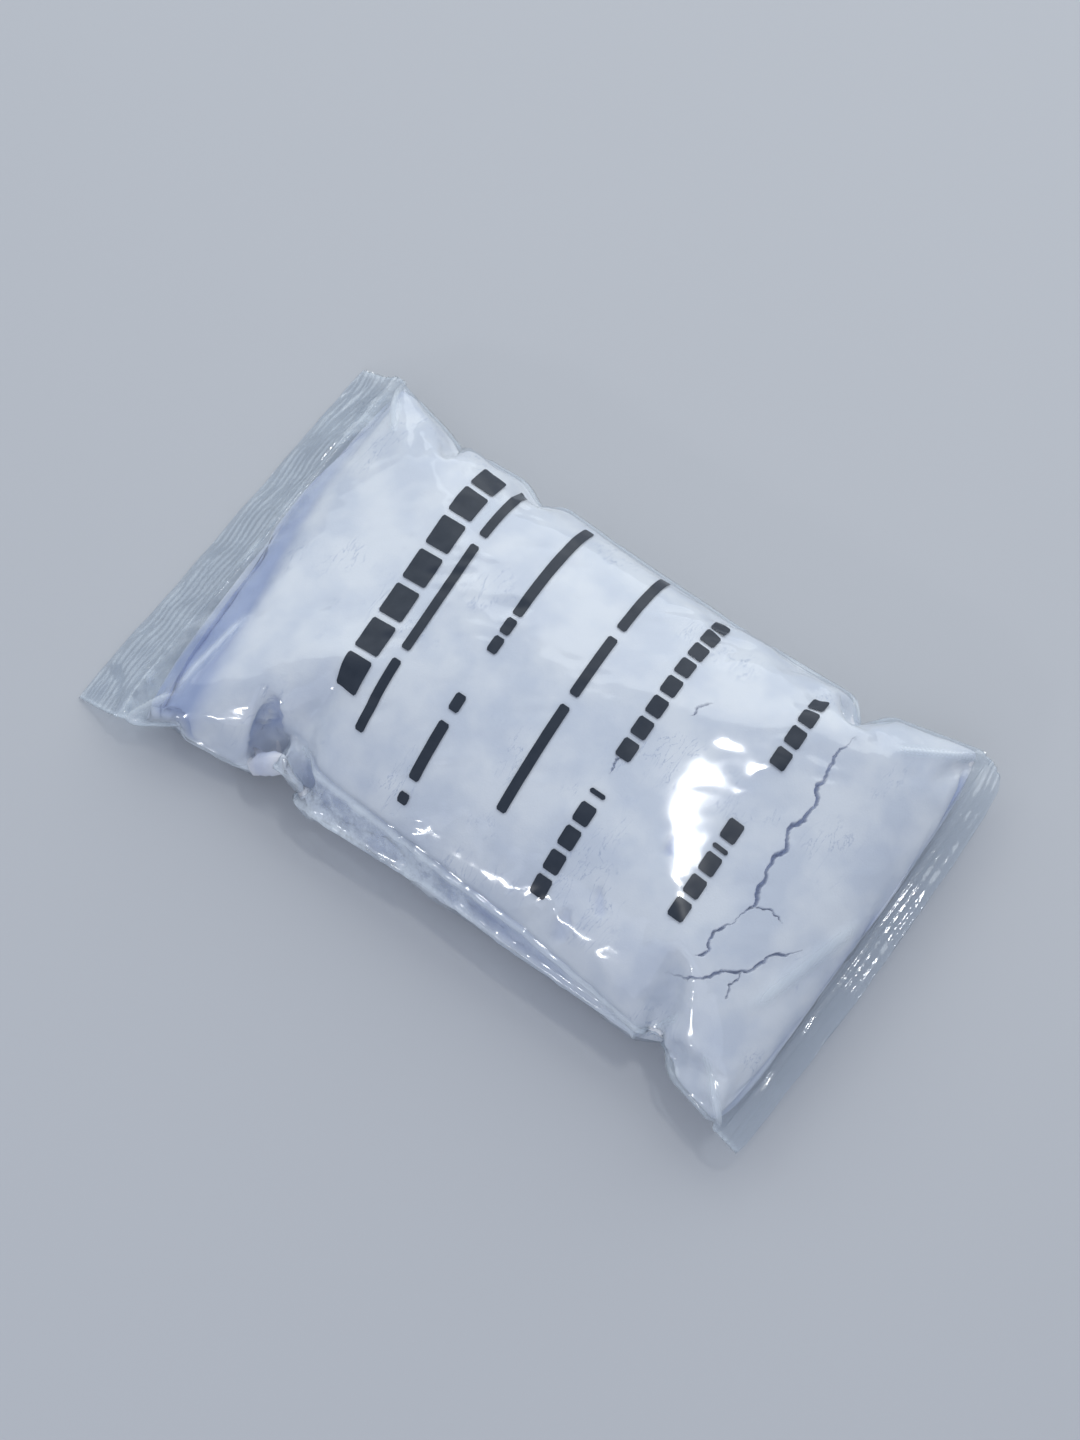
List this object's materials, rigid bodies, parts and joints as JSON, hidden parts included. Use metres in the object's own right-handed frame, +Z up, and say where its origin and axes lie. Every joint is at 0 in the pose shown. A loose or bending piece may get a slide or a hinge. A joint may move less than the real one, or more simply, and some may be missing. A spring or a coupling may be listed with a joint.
{
  "type": "filled clear plastic bag of cement powder",
  "caption": "Clear plastic pillow bag filled with white cement powder, lying flat, with a ribbed heat-sealed band across its top end.",
  "frame": {"origin": "on the floor, under the middle of the bag's bounding box", "axes": "+Y along the bag towards its ribbed top weld, +X to the right of the printed face, +Z up through the printed face"},
  "size_m": [0.15, 0.259, 0.044],
  "materials": {
    "clear_film": "glossy, limp, clear film with fine creases",
    "white_cement": "matte fine white powder, caked and cracked"
  },
  "bodies": {
    "root": {"film_bag": "clear_film", "cement_fill": "white_cement"}
  },
  "joints": []
}
